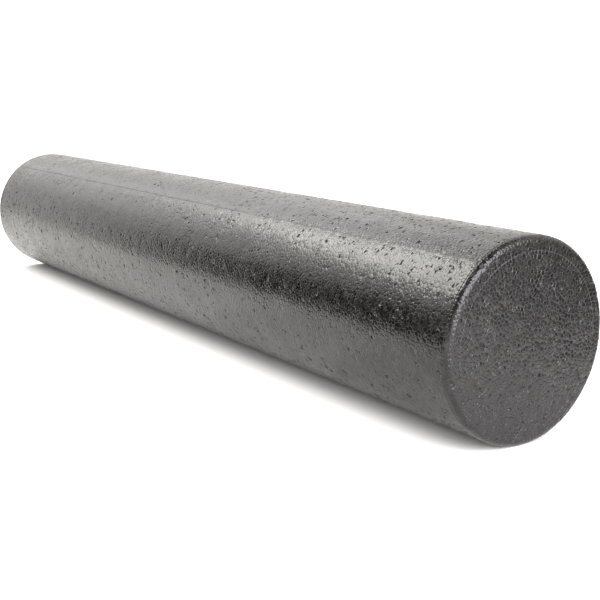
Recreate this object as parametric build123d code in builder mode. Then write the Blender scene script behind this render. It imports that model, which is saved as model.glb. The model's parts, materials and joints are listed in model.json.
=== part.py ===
from build123d import *
import os

# A firm foam roller for exercise and massage: one solid cylinder of black expanded
# polypropylene (EPP) beads, fused by steam in a closed mould. It has no core, cap, cover
# or moving part, so it is one solid in one node.
#
# Frame: the origin is on the roller's axis at half its length, +Y runs along the axis,
# and +Z is up, with the roller lying on its side. Sizes are in millimetres and angles in
# degrees.

# Overall size
ROLLER_LENGTH = 36 * IN
ROLLER_DIAMETER = 6 * IN
RIM_RADIUS = 5.0  # rounding where the barrel turns into each end

# Lines that the mould leaves. Each is a shallow V, cut in or standing proud.
# The mould's end plates carry a raised disc, whose edge cuts a ring into each end.
END_RING_INSET = 5.7  # from the inner edge of the rounding, towards the axis
END_RING_WIDTH = 1.2
END_RING_DEPTH = 0.4
# The end plates close against the two barrel halves just behind the rounded rim.
RIM_LINE_SETBACK = 0.8  # from the start of the rounding, towards the middle of the barrel
RIM_LINE_WIDTH = 1.0
RIM_LINE_DEPTH = 0.35
# The barrel halves meet along two opposite lines, where a little flash stands proud.
PARTING_LINES = 2
PARTING_ANGLE = 126.0  # of the first line, from +X towards +Z
FLASH_WIDTH = 0.8
FLASH_HEIGHT = 0.15

# Worked out from the sizes above
BARREL_RADIUS = ROLLER_DIAMETER / 2
HALF_LENGTH = ROLLER_LENGTH / 2
END_RING_RADIUS = BARREL_RADIUS - RIM_RADIUS - END_RING_INSET
BARREL_END_Y = HALF_LENGTH - RIM_RADIUS  # where the straight barrel meets the rounding
RIM_LINE_Y = BARREL_END_Y - RIM_LINE_SETBACK


def rhombus(size_x, size_y, mode):
    """A rhombus with these diagonals.

    Centred on a surface, its inner half cuts a V, and its outer half adds one.
    """
    right = (size_x / 2, 0)
    top = (0, size_y / 2)
    left = (-size_x / 2, 0)
    bottom = (0, -size_y / 2)
    Polygon(right, top, left, bottom, mode=mode)


# Half of the lengthwise section is turned about the axis, with the rings and rim lines
# already in it. Then the flash is added along the straight barrel.
with BuildPart() as foam_roller:
    with BuildSketch(Plane.XY) as half_section:
        Rectangle(BARREL_RADIUS, ROLLER_LENGTH, align=(Align.MIN, Align.CENTER))
        fillet(half_section.vertices().group_by(Axis.X)[-1], RIM_RADIUS)
        with Locations((END_RING_RADIUS, HALF_LENGTH), (END_RING_RADIUS, -HALF_LENGTH)):
            rhombus(END_RING_WIDTH, 2 * END_RING_DEPTH, Mode.SUBTRACT)
        with Locations((BARREL_RADIUS, RIM_LINE_Y), (BARREL_RADIUS, -RIM_LINE_Y)):
            rhombus(2 * RIM_LINE_DEPTH, RIM_LINE_WIDTH, Mode.SUBTRACT)
    revolve(axis=Axis.Y)
    with BuildSketch(Plane.XZ) as flash_section:
        with PolarLocations(BARREL_RADIUS, PARTING_LINES, start_angle=PARTING_ANGLE):
            rhombus(2 * FLASH_HEIGHT, FLASH_WIDTH, Mode.ADD)
    extrude(amount=BARREL_END_Y, both=True)

foam_roller.part.label = "foam_roller"

os.makedirs("parts", exist_ok=True)
export_step(foam_roller.part, "parts/foam_roller.step")
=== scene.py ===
import json
import math

import bpy
import numpy as np
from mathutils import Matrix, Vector
from mathutils.geometry import delaunay_2d_cdt


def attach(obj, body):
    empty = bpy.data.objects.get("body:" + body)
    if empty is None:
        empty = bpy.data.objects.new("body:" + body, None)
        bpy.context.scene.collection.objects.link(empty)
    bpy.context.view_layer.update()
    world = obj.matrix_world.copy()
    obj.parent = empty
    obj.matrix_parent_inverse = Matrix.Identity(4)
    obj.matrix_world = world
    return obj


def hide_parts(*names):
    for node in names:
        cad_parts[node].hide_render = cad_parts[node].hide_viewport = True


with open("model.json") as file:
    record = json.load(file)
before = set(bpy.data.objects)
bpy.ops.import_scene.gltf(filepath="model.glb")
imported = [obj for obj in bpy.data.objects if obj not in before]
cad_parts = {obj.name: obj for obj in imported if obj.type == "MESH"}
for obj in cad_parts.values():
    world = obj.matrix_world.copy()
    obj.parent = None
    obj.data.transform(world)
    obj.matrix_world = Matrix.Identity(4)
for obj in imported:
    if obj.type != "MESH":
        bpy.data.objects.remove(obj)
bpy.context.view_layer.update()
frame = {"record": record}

# ---- Foam body: where its beads lie --------------------------------------------------------
# The whole roller is one moulding of expanded polypropylene (EPP). Steam swells the beads
# in a closed mould until they press flat against its wall and against each other, so the
# skin is a mosaic of flat beads with a crease round each one. It is made bead by bead.
MM = 0.001
mounts = {mount["name"]: mount for mount in frame["record"]["mounts"]}
barrel_mount = mounts["barrel"]["dims"]
BARREL_RADIUS = barrel_mount["r_mm"] * MM
HALF_LENGTH = mounts["far_end"]["pos_m"][1]
HALF_STRAIGHT = barrel_mount["length_mm"] * MM / 2
RIM_RADIUS = HALF_LENGTH - HALF_STRAIGHT
CORE_RADIUS = BARREL_RADIUS - RIM_RADIUS
BEND = math.pi / 2 * RIM_RADIUS  # length of the skin over a rim
# A path is a length along the skin, from the near end's centre, at -Y, out to the rim, over
# it, along the barrel, and over the other rim in to the far end's centre. This is all of it:
SKIN_LENGTH = 2 * (CORE_RADIUS + BEND + HALF_STRAIGHT)

BEAD_PITCH = 3.25 * MM  # from bead to bead
ROW_STEP = BEAD_PITCH * math.sqrt(3) / 2
BEAD_JITTER = 0.45  # how far a bead wanders from its place in a row, in pitches
LINE_JITTER = 0.25  # the same for the beads beside a mould line, which wander along it only
LINE_CLEARANCE = 0.9  # how near the other beads come to a line round the axis, in row steps
EASE = 0.6  # how far a bead is then pushed towards the middle of its neighbours
RING_TO_EDGE = 10.7 * MM
RIM_LINE_SETBACK = 0.8 * MM
END_RING_RADIUS = BARREL_RADIUS - RING_TO_EDGE  # witness line of the mould's end plate
RIM_LINE = CORE_RADIUS + BEND + RIM_LINE_SETBACK  # path to where the end plate met the barrel
PARTING_ANGLE = math.radians(126)  # of the first parting line, from +X towards +Z
TINY = 1e-9  # stands in for a distance of zero where it is divided by
SEED = 36
random = np.random.default_rng(SEED)


def from_axis(path):
    """How far the skin is from the axis, at a path along it from the near end's centre.

    On an end that is the way to the nearer centre. On the two rims it is the core's radius
    plus the rim's radius times the sine of the turn.
    """
    turned = np.clip(path - CORE_RADIUS, 0, BEND)
    turned = turned - np.clip(path - SKIN_LENGTH + CORE_RADIUS + BEND, 0, BEND)
    flat = np.minimum(np.minimum(path, SKIN_LENGTH - path), CORE_RADIUS)
    return flat + RIM_RADIUS * np.sin(turned / RIM_RADIUS)


def on_skin(path, angle):
    """The point at a path along the skin and an angle round the axis, from +X towards +Z.

    The way out of the skin swings from -Y through sideways to +Y over the two rims.
    """
    swing = np.clip(path - CORE_RADIUS, 0, BEND)
    swing = swing + np.clip(path - SKIN_LENGTH + CORE_RADIUS + BEND, 0, BEND)
    along = np.clip(path - CORE_RADIUS - BEND, 0, 2 * HALF_STRAIGHT) - HALF_STRAIGHT
    along = along - RIM_RADIUS * np.cos(swing / RIM_RADIUS)
    radius = from_axis(path)
    return np.column_stack([radius * np.cos(angle), along, radius * np.sin(angle)])


def raised(points, height):
    """Points moved straight out of the skin, to a height over the mould's smooth wall.

    The wall is everything at the rim's radius from a smaller cylinder inside the roller. So
    a point goes to its nearest point of that inner cylinder, and from there straight out by
    the rim's radius plus its height.
    """
    around = np.maximum(np.hypot(points[:, 0], points[:, 2]), TINY)
    inward = np.minimum(around, CORE_RADIUS) / around
    along = np.clip(points[:, 1], -HALF_STRAIGHT, HALF_STRAIGHT)
    inner = np.column_stack([points[:, 0] * inward, along, points[:, 2] * inward])
    out = points - inner
    out /= np.linalg.norm(out, axis=1)[:, None]
    return inner + out * (RIM_RADIUS + height)[:, None]


def path_and_angle(points):
    """The path along the skin and the angle round the axis of points on the skin.

    The path adds up what is passed: the flat end, the arc of the rim, and the barrel as far
    as the point. Beyond mid-length it is counted back from the other end.
    """
    around = np.hypot(points[:, 0], points[:, 2])
    over = np.maximum(np.abs(points[:, 1]) - HALF_STRAIGHT, 0)
    turned = np.arctan2(np.maximum(around - CORE_RADIUS, 0), np.maximum(over, TINY)) * RIM_RADIUS
    path = np.minimum(around, CORE_RADIUS) + turned + HALF_STRAIGHT
    path = path - np.minimum(np.abs(points[:, 1]), HALF_STRAIGHT)
    path = np.where(points[:, 1] > 0, SKIN_LENGTH - path, path)
    return path, np.arctan2(points[:, 2], points[:, 0])


def ring_beads():
    """Two like rows of beads, one each side of every line that runs round the axis.

    Their shared borders then lie along the line. The rows beside the rim lines start and end
    beside the parting lines, and are evenly spaced between them.
    """
    path, angle = [], []
    beside = ROW_STEP / 2
    for line in (END_RING_RADIUS, RIM_LINE, SKIN_LENGTH - RIM_LINE, SKIN_LENGTH - END_RING_RADIUS):
        arc = math.pi * from_axis(line) - 2 * beside
        steps = round(arc / BEAD_PITCH)
        place = beside + np.arange(steps + 1) * arc / steps
        wander = random.uniform(-1, 1, (2, steps + 1)) * LINE_JITTER * BEAD_PITCH
        wander[:, [0, -1]] = 0
        for half in (0, 1):
            turn = (place + wander[half]) / from_axis(line) + half * math.pi + PARTING_ANGLE
            for side in (-beside, beside):
                path.append(np.full(steps + 1, line + side))
                angle.append(turn)
    return np.concatenate(path), np.concatenate(angle)


def parting_beads():
    """Two like rows of beads, one each side of both parting lines, from rim to rim."""
    first = RIM_LINE + ROW_STEP / 2
    length = SKIN_LENGTH - 2 * first
    steps = round(length / BEAD_PITCH)
    place = first + np.arange(1, steps) * length / steps
    path, angle = [], []
    for half in (0, 1):
        wander = random.uniform(-1, 1, steps - 1) * LINE_JITTER * BEAD_PITCH
        for side in (-1, 1):
            path.append(place + wander)
            turn = PARTING_ANGLE + half * math.pi + side * ROW_STEP / 2 / BARREL_RADIUS
            angle.append(np.full(steps - 1, turn))
    return np.concatenate(path), np.concatenate(angle)


def from_parting(angle):
    """How far a point of the barrel is from the plane through both parting lines."""
    return np.sin(angle - PARTING_ANGLE) * BARREL_RADIUS


POLE_MARGIN = 0.5 * MM  # how near a bead wanders to an end's centre
FEWEST_IN_ROW = 3


def fill_beads():
    """All the other beads: rows of them round the axis, each row turned at random.

    Between two lines the rows are evenly spaced. Each bead then wanders from its place, and
    the beads that come too near to a line are left out.
    """
    lines = [END_RING_RADIUS, RIM_LINE, SKIN_LENGTH - RIM_LINE, SKIN_LENGTH - END_RING_RADIUS]
    starts = [0] + [line + ROW_STEP for line in lines]
    ends = [line - ROW_STEP for line in lines] + [SKIN_LENGTH]
    rows = []
    for start, end in zip(starts, ends):
        count = round((end - start) / ROW_STEP)
        rows.append(start + (np.arange(count) + 0.5) * (end - start) / count)
    rows = np.concatenate(rows)
    count = np.round(math.tau * from_axis(rows) / BEAD_PITCH)
    count = np.maximum(count, FEWEST_IN_ROW).astype(int)
    row = np.repeat(np.arange(len(rows)), count)
    place = np.arange(len(row)) - np.repeat(np.cumsum(count) - count, count)
    angle = (place / count[row] + random.uniform(size=len(rows))[row]) * math.tau
    wander = random.uniform(-1, 1, (2, len(row))) * BEAD_JITTER * BEAD_PITCH
    path = np.clip(rows[row] + wander[0], POLE_MARGIN, SKIN_LENGTH - POLE_MARGIN)
    angle = angle + wander[1] / from_axis(path)
    to_line = np.min([np.abs(path - line) for line in lines], axis=0)
    clear = to_line > LINE_CLEARANCE * ROW_STEP
    between_rims = (path > RIM_LINE) & (path < SKIN_LENGTH - RIM_LINE)
    clear &= ~(between_rims & (np.abs(from_parting(angle)) < ROW_STEP))
    return path[clear], angle[clear]


# The flat map on which neighbours are found: like a map of the Earth seen from one pole, with
# the other pole at infinity. A bead's distance from the map's centre is e to the power of its
# stretched path, the sum of each step over its distance from the axis. So beads keep their
# shapes on it.
POLE_GAP = 0.2 * MM
MAP_STEPS = 60000
MAP_SHRINK = 8  # a power of e, which keeps the numbers on the map small
even_path = np.linspace(POLE_GAP, SKIN_LENGTH - POLE_GAP, MAP_STEPS + 1)
stretched = np.cumsum((even_path[1] - even_path[0]) / from_axis(even_path))


def neighbours(points):
    """Triangles between neighbouring beads, over the whole closed skin.

    Beads are neighbours where no third bead is in the circle through them (Delaunay). The
    beads are laid out on the flat map, joined there, and the hole that is left in the map
    at the far end's centre is filled from the last bead, which stands on it.
    """
    path, angle = path_and_angle(points[:-1])
    out = np.exp(np.interp(path, even_path, stretched) - MAP_SHRINK)
    flat = np.column_stack([out * np.cos(angle), out * np.sin(angle)])
    # No side is given beforehand, 0 asks for all triangles, and 0.0 merges no two beads
    found = delaunay_2d_cdt(flat.tolist(), [], [], 0, 0.0, False)
    inside = np.array(found[2])
    walked = np.concatenate([inside[:, [0, 1]], inside[:, [1, 2]], inside[:, [2, 0]]])
    there = walked[:, 0] * len(points) + walked[:, 1]
    back = walked[:, 1] * len(points) + walked[:, 0]
    open_sides = walked[~np.isin(back, there)]
    last = np.full(len(open_sides), len(points) - 1)
    return np.concatenate([inside, np.column_stack([open_sides[:, ::-1], last])])


line_path, line_angle = (np.concatenate(both) for both in zip(ring_beads(), parting_beads()))
fill_path, fill_angle = fill_beads()
beads = on_skin(
    np.concatenate([line_path, fill_path, [SKIN_LENGTH]]),
    np.concatenate([line_angle, fill_angle, [0.0]]))
# The beads beside the mould lines are held, and so is the last one, at the far end's centre
held = np.arange(len(beads)) < len(line_path)
held[-1] = True

# The others push each other apart: each moves towards the middle of its triangles
triangles = neighbours(beads)
middles = np.repeat(beads[triangles].mean(axis=1), 3, axis=0)
middle_of_all = np.column_stack([
    np.bincount(triangles.reshape(-1), middles[:, axis], len(beads)) for axis in range(3)])
middle_of_all /= np.bincount(triangles.reshape(-1), minlength=len(beads))[:, None]
moved = beads + EASE * (middle_of_all - beads)
beads = np.where(held[:, None], beads, raised(moved, np.zeros(len(beads))))
triangles = neighbours(beads)

# ---- Foam body: its creases, lines, pits and vents -----------------------------------------
# Round each bead is a crease. Along the end rings and the rim lines the creases join in a
# deeper groove, and where the mould's two halves met the foam was squeezed into a flash.
FLAT_TOP = 0.70  # how far a bead's flat top goes, from its middle (0) to its crease (1)
SHOULDER = 0.87  # where its rounded edge turns down into the crease
TOP_SPREAD = 0.015 * MM  # how unevenly high the beads' tops are
# Each pair is for the barrel, which is pressed smoother, and for the two ends
TILT_SPREAD = (0.030, 0.080)  # slope of a bead's top
SHOULDER_DROP = (0.02 * MM, 0.04 * MM)
CREASE_DEPTH = (0.07 * MM, 0.14 * MM)
CREASE_SPREAD = 0.3  # how unevenly deep the creases are
GROOVE_DEPTH = 0.40 * MM
GROOVE_SHARES = (0.7, 1.2)  # least and most of that depth, from corner to corner
FLASH_HEIGHT = 0.15 * MM
FLASH_SHARES = (0.5, 1.2)
LEAST_SHARE = 0.16  # of each of its three beads in a corner's place


def cell_corners(points, triangles):
    """Where the three beads of each triangle meet: the centre of the circle through them.

    With the square of the side opposite a bead called its square, a bead's share in that
    centre is its square times the sum of the other two squares less its own. In a blunt
    triangle the centre is outside, so each bead keeps a least share.
    """
    place = points[triangles]
    side = np.sum((np.roll(place, -1, axis=1) - np.roll(place, 1, axis=1)) ** 2, axis=2)
    share = side * (side.sum(axis=1)[:, None] - 2 * side)
    share = np.maximum(share / share.sum(axis=1)[:, None], LEAST_SHARE)
    share /= share.sum(axis=1)[:, None]
    return np.sum(place * share[:, :, None], axis=1)


def crosses(values):
    """Whether a triangle has beads on both sides of the line where the value is zero."""
    return (values.min(axis=1) < 0) & (values.max(axis=1) > 0)


# Corners between beads on both sides of a ring or a rim line are put on that line
bead_path, bead_angle = path_and_angle(beads)
on_wall = raised(cell_corners(beads, triangles), np.zeros(len(triangles)))
corner_path, corner_angle = path_and_angle(on_wall)
on_ring = np.zeros(len(triangles), dtype=bool)
on_rim_line = np.zeros(len(triangles), dtype=bool)
for line in (END_RING_RADIUS, SKIN_LENGTH - END_RING_RADIUS):
    here = crosses(bead_path[triangles] - line)
    corner_path[here] = line
    on_ring |= here
for line in (RIM_LINE, SKIN_LENGTH - RIM_LINE):
    here = crosses(bead_path[triangles] - line)
    corner_path[here] = line
    on_rim_line |= here

# Corners between beads on both sides of a parting line are put on it, from rim to rim
half_turns = np.round((corner_angle - PARTING_ANGLE) / math.pi)
on_flash = crosses(from_parting(bead_angle)[triangles]) & ~on_rim_line
on_flash &= (corner_path > RIM_LINE) & (corner_path < SKIN_LENGTH - RIM_LINE)
corner_angle = np.where(on_flash, PARTING_ANGLE + half_turns * math.pi, corner_angle)
corners = on_skin(corner_path, corner_angle)

# Each side of a triangle, walked one way, belongs to the bead that it starts from. Its twin
# is the same side walked the other way, in the next triangle.
bead_of = triangles.reshape(-1)
sides = len(bead_of)
next_bead = np.roll(triangles, -1, axis=1).reshape(-1)
corner_of = np.repeat(np.arange(len(triangles)), 3)
key = bead_of * len(beads) + next_bead
order = np.argsort(key)
twin = order[np.searchsorted(key, next_bead * len(beads) + bead_of, sorter=order)]
after_twin = twin // 3 * 3 + (twin % 3 + 1) % 3
towards_corner = corners[corner_of] - beads[bead_of]
flats = beads[bead_of] + FLAT_TOP * towards_corner
shoulders = beads[bead_of] + SHOULDER * towards_corner

WAVES = 40
WAVE_LENGTH = (12 * MM, 60 * MM)
WAVE_SLOPE = 0.003  # steepest slope of each wave


def waviness(points):
    """Slow swells in the skin: a sum of sine waves of random direction, length and phase."""
    heading = random.normal(size=(WAVES, 3))
    heading /= np.linalg.norm(heading, axis=1)[:, None]
    length = np.geomspace(*WAVE_LENGTH, WAVES)
    phase = random.uniform(0, math.tau, WAVES)
    swell = np.zeros(len(points))
    for k in range(WAVES):
        wave = math.tau / length[k]
        swell += WAVE_SLOPE / wave * np.sin(points @ heading[k] * wave + phase[k])
    return swell


def on_end(points):
    """0 on the barrel and 1 on the two ends. It rises evenly over the outer half of a rim."""
    return np.clip((np.abs(points[:, 1]) - HALF_STRAIGHT) / RIM_RADIUS * 2 - 1, 0, 1)


def by_place(pair, end):
    """A value between its number on the barrel and its number on the ends."""
    return pair[0] + (pair[1] - pair[0]) * end


def per_point(of_beads, of_flats, of_shoulders, of_corners):
    """One number per point of the mesh: each argument is a number or an array of them."""
    sizes = (len(beads), sides, sides, len(corners))
    parts = (of_beads, of_flats, of_shoulders, of_corners)
    return np.concatenate([np.broadcast_to(part, size) for part, size in zip(parts, sizes)])


crease = by_place(CREASE_DEPTH, on_end(corners))
crease = crease * (1 + CREASE_SPREAD * random.normal(size=len(corners)))
groove = GROOVE_DEPTH * random.uniform(*GROOVE_SHARES, len(corners))
crease = np.where(on_ring | on_rim_line, groove, crease)
flash = FLASH_HEIGHT * random.uniform(*FLASH_SHARES, len(corners))
crease = np.where(on_flash, -flash, crease)
top = TOP_SPREAD * random.normal(size=len(beads))
tilt = by_place(TILT_SPREAD, on_end(beads))[:, None] * random.normal(size=beads.shape)
lean = np.sum(tilt[bead_of] * towards_corner, axis=1)
drop = by_place(SHOULDER_DROP, on_end(shoulders))
top_here = top[bead_of]
height = per_point(top, top_here + FLAT_TOP * lean, top_here + SHOULDER * lean - drop, -crease)

surface = np.concatenate([beads, flats, shoulders, corners])
height += waviness(surface)

# Vents: the mould wall is drilled in rows for steam, and each core vent prints a round
# mark. The two halves of the mould are drilled on different grids.
VENT_RADIUS = 2.1 * MM
VENT_DEPTH = 0.28 * MM
VENT_EDGE = 0.8 * MM  # width of the slope down into a mark, half of it outside the radius
VENT_WANDER = 0.5 * MM
FAINTEST_VENT = 0.4  # share of the depth that the weakest mark has
MANY_FAINT = 1.3  # a power over 1 makes weak marks commoner than strong ones
NO_VENT = 1.0  # a distance that stands for none near
VENT_GRIDS = (  # first row's angle past the parting line, row step, rows, margin, columns
    (math.radians(11.6), math.radians(18.6), 9, 17.3 * MM, 44),
    (math.radians(194.6), math.radians(15.6), 11, 10.5 * MM, 38),
)


def nearest_vent(points):
    """Distance from each point to the nearest vent along the skin, and how strong its mark is.

    On each grid the point is compared with the vent of its nearest row and column.
    """
    past_parting = PARTING_ANGLE - np.arctan2(points[:, 2], points[:, 0])
    nearest = np.full(len(points), NO_VENT)
    strength = np.zeros(len(points))
    for first_angle, row_step, rows, margin, columns in VENT_GRIDS:
        marks = random.uniform(size=(rows, columns)) ** MANY_FAINT
        wander = random.uniform(-1, 1, (2, rows, columns)) * VENT_WANDER
        past = np.mod(past_parting - first_angle + row_step / 2, math.tau) - row_step / 2
        row = np.clip(np.round(past / row_step), 0, rows - 1).astype(int)
        column_step = 2 * (HALF_LENGTH - margin) / (columns - 1)
        along = points[:, 1] + HALF_LENGTH - margin
        column = np.clip(np.round(along / column_step), 0, columns - 1).astype(int)
        across = (past - row * row_step) * BARREL_RADIUS - wander[0, row, column]
        distance = np.hypot(across, along - column * column_step - wander[1, row, column])
        closer = distance < nearest
        nearest = np.where(closer, distance, nearest)
        strength = np.where(closer, marks[row, column], strength)
    return np.where(on_end(points) > 0, NO_VENT, nearest), strength


vent, vent_strength = nearest_vent(surface)
dip = np.clip((VENT_RADIUS - vent) / VENT_EDGE + 0.5, 0, 1)
height -= VENT_DEPTH * dip * (FAINTEST_VENT + (1 - FAINTEST_VENT) * vent_strength)

# Pits: where three beads don't quite meet, a small hole is left at their corner. They come
# in loose clusters, and more of them round the vents. A few beads were too small and lie
# sunk between the others. Shares are of all corners, and of all beads.
PIT_SHARE = 0.034
PIT_SHARE_AT_VENT = 0.12
VENT_REACH = 1.3 * VENT_RADIUS  # how far from its centre a vent makes more pits
CLUSTERING = (0.2, 2.0)  # fewest and most pits in a place, over the usual number
PIT_DEPTH = (0.20 * MM, 0.90 * MM)
PIT_AT_FLAT = 0.05  # share of a pit's depth at the flat top beside it
PIT_AT_SHOULDER = 0.35  # and at the rounded edge
SUNK_SHARE = 0.006
SUNK_DEPTH = (0.3 * MM, 0.8 * MM)
SUNK_AT_SHOULDER = 0.6  # share of a sunk bead's depth at its rounded edge

at_corners = slice(-len(corners), None)
cluster = waviness(corners)
cluster = np.clip(1 + cluster / cluster.std(), *CLUSTERING)
near_vent = (vent[at_corners] < VENT_REACH) * vent_strength[at_corners]
share = PIT_SHARE * cluster + PIT_SHARE_AT_VENT * near_vent
is_pit = (random.uniform(size=len(corners)) < share) & ~(on_ring | on_rim_line | on_flash)
pit_size = is_pit * random.uniform(size=len(corners))
pit_depth = is_pit * by_place(PIT_DEPTH, pit_size)
at_side = pit_depth[corner_of]
height -= per_point(0, PIT_AT_FLAT * at_side, PIT_AT_SHOULDER * at_side, pit_depth)
is_sunk = (random.uniform(size=len(beads)) < SUNK_SHARE) & ~held
sunk_depth = is_sunk * random.uniform(*SUNK_DEPTH, len(beads))
sunk_here = sunk_depth[bead_of]
height -= per_point(sunk_depth, sunk_here, SUNK_AT_SHOULDER * sunk_here, 0)
surface_path, surface_angle = path_and_angle(surface)
surface = raised(surface, height)

# ---- Foam body: its mesh -------------------------------------------------------------------
# Each side gives one slice of its bead: a triangle of the flat top, two triangles over the
# rounded edge, and two down to the crease.
# A slice goes from the corner of its own triangle, here, to the corner across the side.
first_flat = len(beads)
first_shoulder = first_flat + sides
first_corner = first_shoulder + sides
flat_here = first_flat + np.arange(sides)
flat_across = first_flat + after_twin
shoulder_here = first_shoulder + np.arange(sides)
shoulder_across = first_shoulder + after_twin
corner_here = first_corner + corner_of
corner_across = first_corner + corner_of[twin]
slices = (
    np.column_stack([bead_of, flat_across, flat_here]),
    np.column_stack([flat_across, shoulder_across, shoulder_here]),
    np.column_stack([flat_across, shoulder_here, flat_here]),
    np.column_stack([shoulder_across, corner_across, corner_here]),
    np.column_stack([shoulder_across, corner_here, shoulder_here]),
)
faces = np.stack(slices, axis=1).reshape(-1, 3)
face_bead = np.repeat(bead_of, len(slices))


def new_mesh(name, points, faces):
    """A smooth mesh of triangles from an array of points and one of corner numbers."""
    mesh = bpy.data.meshes.new(name)
    mesh.vertices.add(len(points))
    mesh.vertices.foreach_set("co", points.astype(np.float32).reshape(-1))
    mesh.loops.add(faces.size)
    mesh.loops.foreach_set("vertex_index", faces.astype(np.int32).reshape(-1))
    mesh.polygons.add(len(faces))
    mesh.polygons.foreach_set("loop_start", np.arange(0, faces.size, 3, dtype=np.int32))
    mesh.polygons.foreach_set("use_smooth", np.ones(len(faces), dtype=bool))
    mesh.update(calc_edges=True)
    mesh.validate()
    return mesh


def store(mesh, name, domain, values):
    """Keeps one number per point or per face in the mesh, for the material to read."""
    attribute = mesh.attributes.new(name, "FLOAT", domain)
    attribute.data.foreach_set("value", values.astype(np.float32))


SHEET_SIZE = 950 * MM  # side of the square sheet that the skin is laid out on
SHEET_GAP = 6 * MM
DISC_RADIUS = CORE_RADIUS + BEND / 2
DISC_LIFT = math.tau * BARREL_RADIUS + 4 * SHEET_GAP + DISC_RADIUS
DISC_CENTRES = ((DISC_RADIUS + SHEET_GAP, DISC_LIFT), (4 * DISC_RADIUS, DISC_LIFT))


def laid_out(faces, face_bead):
    """Where each corner of each face lies when the skin is laid out flat on one square sheet.

    The barrel unrolls to a rectangle, path across and arc up. Above it lie the two ends as
    discs, each with half of its rim flattened round it. A bead lies in one of them whole, so
    the angles of its corners are taken within half a turn of its own.
    """
    middle = bead_angle[face_bead][:, None]
    turn = np.mod(surface_angle[faces] - middle + math.pi, math.tau) - math.pi + middle
    along = surface_path[faces] - DISC_RADIUS
    sheet = np.stack([along, (turn + math.pi) * BARREL_RADIUS], axis=2) + SHEET_GAP
    from_near_end = (surface_path, bead_path)
    from_far_end = (SKIN_LENGTH - surface_path, SKIN_LENGTH - bead_path)
    for (of_points, of_beads), centre in zip((from_near_end, from_far_end), DISC_CENTRES):
        out = of_points[faces]
        disc = np.stack([out * np.cos(turn), out * np.sin(turn)], axis=2) + centre
        on_disc = of_beads[face_bead] < DISC_RADIUS
        sheet = np.where(on_disc[:, None, None], disc, sheet)
    return sheet / SHEET_SIZE


# How far into a crease or a hole each kind of point is, from 0 to 1, for the material
CREASE_AT_SHOULDER = 0.6
PIT_MARK = (0.35, 1.0)  # at the bottom of the smallest and the largest pit
PIT_MARK_AT_FLAT = 0.1
PIT_MARK_AT_SHOULDER = 0.45
SUNK_MARK = 0.6
SUNK_MARK_AT_SHOULDER = 0.5
MOSTLY_DARK = 2  # a power over 1 makes dark beads commoner than light ones

foam_mesh = new_mesh("foam_body", surface, faces)
store(foam_mesh, "crease", "POINT", per_point(0, 0, CREASE_AT_SHOULDER, ~on_flash))
store(foam_mesh, "groove", "POINT", per_point(0, 0, 0, on_rim_line))
store(foam_mesh, "flash", "POINT", per_point(0, 0, 0, on_flash))
store(foam_mesh, "ring", "POINT", per_point(0, 0, 0, on_ring))
pit_mark = is_pit * by_place(PIT_MARK, pit_size)
pit_here = pit_mark[corner_of]
bead_sunk = is_sunk[bead_of]
on_flats = np.maximum(PIT_MARK_AT_FLAT * pit_here, SUNK_MARK * bead_sunk)
on_shoulders = np.maximum(PIT_MARK_AT_SHOULDER * pit_here, SUNK_MARK_AT_SHOULDER * bead_sunk)
holes = per_point(SUNK_MARK * is_sunk, on_flats, on_shoulders, pit_mark)
store(foam_mesh, "pit", "POINT", holes)
store(foam_mesh, "vent", "POINT", vent / MM)
store(foam_mesh, "vent_strength", "POINT", vent_strength)
store(foam_mesh, "end", "POINT", on_end(surface))
shade = random.uniform(size=len(beads)) ** MOSTLY_DARK
store(foam_mesh, "shade", "FACE", shade[face_bead])
layout = foam_mesh.uv_layers.new(name="OFBake")
layout.uv.foreach_set("vector", laid_out(faces, face_bead).astype(np.float32).reshape(-1))
foam = bpy.data.objects.new("foam_body", foam_mesh)
bpy.context.scene.collection.objects.link(foam)

# ---- Foam body: its material ---------------------------------------------------------------
# Black EPP: polypropylene coloured with carbon black. The beads that met the mould have a
# pressed, half glossy skin. Pits, vents and the mould's lines are bare foam, which is dull,
# and their darker colour is painted shade.


def linear(code):
    """An sRGB hex colour, such as "1c1c1e", as linear red, green, blue and alpha."""
    parts = [int(code[i:i + 2], 16) / 255 for i in (0, 2, 4)]
    return [p / 12.92 if p <= 0.04045 else ((p + 0.055) / 1.055) ** 2.4 for p in parts] + [1]


epp = bpy.data.materials.new("moulded_epp_foam")
epp.use_nodes = True
tree = epp.node_tree
tree.nodes.clear()


def add(kind, inputs=(), output=0, **settings):
    """Adds a node to the foam's material and gives one of its outputs, if it has any.

    Settings are its own properties. Inputs are numbers, colours or other nodes' outputs,
    either in the order of its sockets or by name or number.
    """
    new = tree.nodes.new("ShaderNode" + kind)
    for name, value in settings.items():
        setattr(new, name, value)
    by_socket = inputs.items() if isinstance(inputs, dict) else enumerate(inputs)
    for socket, value in by_socket:
        if isinstance(value, bpy.types.NodeSocket):
            tree.links.new(value, new.inputs[socket])
        else:
            new.inputs[socket].default_value = value
    return new.outputs[output] if new.outputs else None


kept = {}
for name in ("crease", "groove", "flash", "ring", "pit", "vent", "vent_strength", "end", "shade"):
    kept[name] = add("Attribute", output="Fac", attribute_name=name)
place = add("TexCoord", output="Object")

# Sizes of the patterns, each from a real length
PATCH_SIZE = 2.5 * MM  # bead size, so that a vent's edge breaks off from bead to bead
GRAIN_SIZE = 0.8 * MM  # the real skin's grain is about 0.1 mm, drawn coarser so that it shows
CLOUD_SIZE = 22 * MM  # areas that the mould pressed alike
TINT_SIZE = 9 * MM  # a few beads from the same batch
GRAIN_HEIGHT = 0.006 * MM
LINE_DEPTH = 0.008 * MM  # of the thin line at the bottom of a crease

SKIN_ROUGHNESS = (0.18, 0.25)
ENDS_ROUGHER_BY = 0.06
BARE_ROUGHNESS = 0.75
BARE_AND_SHADE_IN_CREASE = 0.05
POLYPROPYLENE_IOR = 1.49

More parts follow.
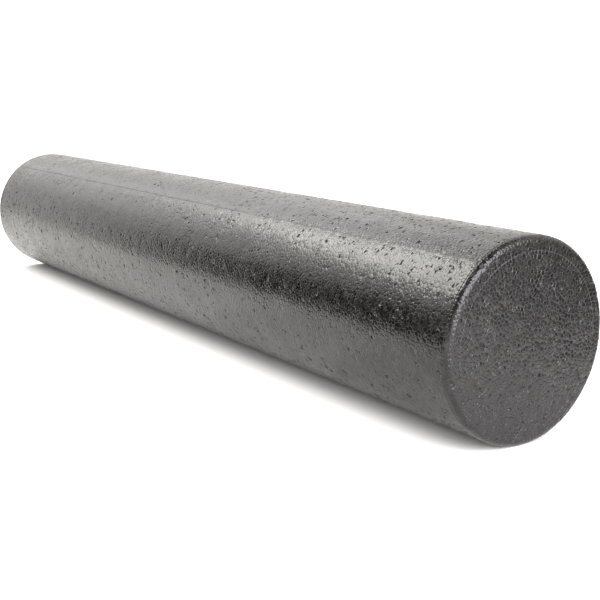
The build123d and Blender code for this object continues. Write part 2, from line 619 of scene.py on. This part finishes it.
# A Map Range node takes a value, the range that it comes from, and the range that it goes to,
# which is 0 to 1 if none is given. All of them here go smoothly from one to the other.
SMOOTH = {"interpolation_type": "SMOOTHSTEP"}
# A Mix node for colours takes a factor and the colours for 0 and for 1, at these sockets
FACTOR, COLOUR_0, COLOUR_1, MIXED = 0, 6, 7, 2

# Thin lines between the beads
crease_line = add("MapRange", (kept["crease"], 0.80, 1.0), **SMOOTH)

# Vents: a dull ring and a fainter patch inside it, by distances in mm, also painted darker as
# shade. Weak vents show less, and the mark is broken up from bead to bead.
patch = add("TexNoise", {"Vector": place, "Scale": 1 / PATCH_SIZE, "Detail": 1.0})
from_edge = add("Math", (kept["vent"], VENT_RADIUS / MM), operation="SUBTRACT")
from_edge = add("Math", (from_edge,), operation="ABSOLUTE")
vent_edge = add("MapRange", (from_edge, 0.6, 0.1), **SMOOTH)
vent_inside = add("MapRange", (kept["vent"], 2.2, 1.6, 0.0, 0.35), **SMOOTH)
vent_mark = add("Math", (vent_edge, vent_inside), operation="MAXIMUM")
strength = add("MapRange", (kept["vent_strength"], 0.0, 1.0, 0.1, 0.9), **SMOOTH)
vent_mark = add("Math", (vent_mark, strength), operation="MULTIPLY")
unbroken = add("MapRange", (patch, 0.40, 0.60), **SMOOTH)
vent_mark = add("Math", (vent_mark, unbroken), operation="MULTIPLY")

# Bare foam and painted shade: vents, pits, the rim line and the flash, and a trace of it in
# the creases. Bare foam makes them dull; their darker colour below is painted shade.
hole = add("MapRange", (kept["pit"], 0.2, 0.8), **SMOOTH)
bare_and_shade = add("Math", (vent_mark, hole), operation="MAXIMUM")
crease_bare_and_shade = add("Math", (crease_line, BARE_AND_SHADE_IN_CREASE), operation="MULTIPLY")
bare_and_shade = add("Math", (bare_and_shade, crease_bare_and_shade), operation="MAXIMUM")
groove_bare_and_shade = add("MapRange", (kept["groove"], 0.2, 0.9), **SMOOTH)
bare_and_shade = add("Math", (bare_and_shade, groove_bare_and_shade), operation="MAXIMUM")
flash_bare_and_shade = add("MapRange", (kept["flash"], 0.1, 0.7), **SMOOTH)
bare_and_shade = add("Math", (bare_and_shade, flash_bare_and_shade), operation="MAXIMUM")

# Grain is the fine roughness of one bead's skin, cloud the patches where the skin was pressed
# glossier, and tint the slow drift between warm and cool black over the ends
grain = add("TexNoise", {
    "Vector": place, "Scale": 1 / GRAIN_SIZE, "Detail": 3.0, "Roughness": 0.6})
cloud = add("TexNoise", {"Vector": place, "Scale": 1 / CLOUD_SIZE, "Detail": 3.0})
tint = add("TexNoise", {"Vector": place, "Scale": 1 / TINT_SIZE, "Detail": 2.0})

# On the barrel the beads run from nearly black to a warm dark grey. On the ends they differ
# less. Along the end rings the foam is paler, in some places more than in others.
skin_colour = add("Mix", {
    FACTOR: kept["shade"], COLOUR_0: linear("050504"), COLOUR_1: linear("211f1d"),
}, MIXED, data_type="RGBA")
warm = add("MapRange", (tint, 0.40, 0.60), **SMOOTH)
end_colour = add("Mix", {
    FACTOR: warm, COLOUR_0: linear("0b0a0b"), COLOUR_1: linear("0f0c0b"),
}, MIXED, data_type="RGBA")
darker = add("MapRange", (kept["shade"], 0.0, 1.0, 0.0, 0.6), **SMOOTH)
end_colour = add("Mix", {
    FACTOR: darker, COLOUR_0: end_colour, COLOUR_1: linear("060606"),
}, MIXED, data_type="RGBA")
skin_colour = add("Mix", {
    FACTOR: kept["end"], COLOUR_0: skin_colour, COLOUR_1: end_colour,
}, MIXED, data_type="RGBA")
# Painted shade: the bare places take a darker colour than most of the barrel's beads.
colour = add("Mix", {
    FACTOR: bare_and_shade, COLOUR_0: skin_colour, COLOUR_1: linear("0b0b0b"),
}, MIXED, data_type="RGBA")
ring_line = add("MapRange", (kept["ring"], 0.2, 0.8), **SMOOTH)
paler_in_places = add("MapRange", (cloud, 0.35, 0.65, 0.2, 1.0), **SMOOTH)
ring_line = add("Math", (ring_line, paler_in_places), operation="MULTIPLY")
colour = add("Mix", {
    FACTOR: ring_line, COLOUR_0: colour, COLOUR_1: linear("403d40"),
}, MIXED, data_type="RGBA")

# The barrel has a soft sheen, the ends a duller one and bare foam almost none
rough = add("MapRange", (cloud, 0.3, 0.7, *SKIN_ROUGHNESS), **SMOOTH)
end_rough = add("Math", (kept["end"], ENDS_ROUGHER_BY), operation="MULTIPLY")
rough = add("Math", (rough, end_rough), operation="ADD")
bare_rough = add("Math", (bare_and_shade, BARE_ROUGHNESS), operation="MULTIPLY")
rough = add("Math", (rough, bare_rough), operation="MAXIMUM")

# The bump is in mm: the grain stands up and the lines lie in
relief = add("Math", (grain, GRAIN_HEIGHT / MM), operation="MULTIPLY")
line_relief = add("Math", (crease_line, LINE_DEPTH / MM), operation="MULTIPLY")
relief = add("Math", (relief, line_relief), operation="SUBTRACT")
bump = add("Bump", {"Strength": 1.0, "Distance": MM, "Height": relief})
skin = add("BsdfPrincipled", {
    "Base Color": colour, "Roughness": rough, "IOR": POLYPROPYLENE_IOR, "Normal": bump})
add("OutputMaterial", {"Surface": skin})
foam_mesh.materials.append(epp)

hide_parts("foam_roller")
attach(foam, "root")

# ---- Studio: a pale floor, soft lights, flags and the camera -------------------------------
# The flags are cards that only the foam's sheen sees. The dark ones give it its dark bands,
# and the two pale grey ones on the floor take a little light from the barrel's low side.
floor_z = -BARREL_RADIUS
FLOOR_SIZE = 12.0
PAPER_ROUGHNESS = 0.9
WORLD_STRENGTH = 1.5


def card(name, centre, across, up, colour):
    """A flat piece of matt paper: its centre, plus and minus its two half sides."""
    centre, across, up = (np.array(v, dtype=float) for v in (centre, across, up))
    below, above = centre - up, centre + up
    points = np.array([below - across, below + across, above + across, above - across])
    mesh = new_mesh(name, points, np.array([[0, 1, 2], [0, 2, 3]]))
    made = bpy.data.objects.new(name, mesh)
    bpy.context.scene.collection.objects.link(made)
    paper = bpy.data.materials.new(name)
    paper.use_nodes = True
    shader = paper.node_tree.nodes["Principled BSDF"]
    shader.inputs["Base Color"].default_value = linear(colour)
    shader.inputs["Roughness"].default_value = PAPER_ROUGHNESS
    mesh.materials.append(paper)
    return made


card("floor_paper", (0, 0, floor_z), (FLOOR_SIZE / 2, 0, 0), (0, FLOOR_SIZE / 2, 0), "f4f4f2")

world = bpy.data.worlds.new("studio")
bpy.context.scene.world = world
world.use_nodes = True
background = world.node_tree.nodes["Background"]
background.inputs["Color"].default_value = linear("fffdf9")
background.inputs["Strength"].default_value = WORLD_STRENGTH


def aim(thing, place, target):
    """Puts a light or camera at place, looking at target."""
    thing.location = place
    thing.rotation_euler = (Vector(target) - Vector(place)).to_track_quat("-Z", "Y").to_euler()


def softbox(name, place, target, width, height, radiance, colour="ffffff"):
    """A soft rectangular light. Its power is its radiance times pi times its area."""
    data = bpy.data.lights.new(name, "AREA")
    data.shape = "RECTANGLE"
    data.size = width
    data.size_y = height
    data.energy = radiance * math.pi * width * height
    data.color = linear(colour)[:3]
    light = bpy.data.objects.new(name, data)
    bpy.context.scene.collection.objects.link(light)
    aim(light, place, target)


def bearing(azimuth, elevation, distance, start):
    """The point at a distance from start. Azimuth turns from +Y towards +X, in degrees."""
    turn, rise = math.radians(azimuth), math.radians(elevation)
    way = (math.sin(turn) * math.cos(rise), math.cos(turn) * math.cos(rise), math.sin(rise))
    return tuple(s + distance * w for s, w in zip(start, way))


def flag(name, centre, across, up, colour="202020"):
    """A card that only the sheen sees: it casts no shadow and takes no light from the floor."""
    made = card(name, centre, across, up, colour)
    made.visible_camera = False
    made.visible_diffuse = False
    made.visible_shadow = False


# Each softbox: its place, what it points at, width, height and radiance. The key light gives
# the barrel its bright top and the front one lights the near end.
near_end = (0, -HALF_LENGTH, 0)
middle = (0, 0, 0)
softbox("key", bearing(-25, 41, 1.9, near_end), near_end, 1.15, 0.72, 7.2, "fffbf6")
softbox("back", bearing(13, 34, 2.6, near_end), near_end, 1.5, 0.9, 1.1)
softbox("fill", bearing(-9, 25, 2.6, middle), middle, 1.3, 0.75, 0.7)
softbox("front", bearing(-172, 30, 1.6, near_end), near_end, 1.7, 1.5, 8.0, "f9f7ff")

# Each flag: its centre and its two half sides. Those on the floor lie just above the paper.
flag("side_flag", (-0.75, 0.60, 0.13), (0, 0.60, 0), (0, 0, 0.21))
flag("side_floor_flag", (-0.96, 0.55, floor_z + MM), (0.54, 0, 0), (0, 0.65, 0))
flag("low_flag", (-0.23, -0.35, floor_z + MM), (0.18, 0, 0), (0, 0.29, 0), "e4e3e1")
flag("near_low_flag", (-0.23, -0.46, floor_z + 2 * MM), (0.18, 0, 0), (0, 0.19, 0), "d3d1d0")
flag("front_flag", bearing(113, 4, 0.8, near_end), (0.14, -0.26, 0), (0, 0, 0.2))
flag("front_floor_flag", (0.80, -1.05, floor_z + MM), (0.56, 0, 0), (0, 0.50, 0))
flag("top_flag", (-0.15, -0.45, 0.90), (0.6, 0, 0), (0, 0.5, 0), "606060")
flag("left_flag", (-0.70, -0.40, 0.45), (0, 0.30, 0), (0, 0, 0.30), "606060")

CAMERA_PLACE = (-0.5307, -0.9604, 0.1837)
CAMERA_TARGET = (0.0, -0.1685, -0.0206)
camera_data = bpy.data.cameras.new("camera")
camera_data.lens = 63.06
camera_data.sensor_width = 36.0
camera_data.clip_end = 50.0
camera = bpy.data.objects.new("camera", camera_data)
bpy.context.scene.collection.objects.link(camera)
aim(camera, CAMERA_PLACE, CAMERA_TARGET)
bpy.context.scene.camera = camera
bpy.context.scene.view_settings.view_transform = "Standard"
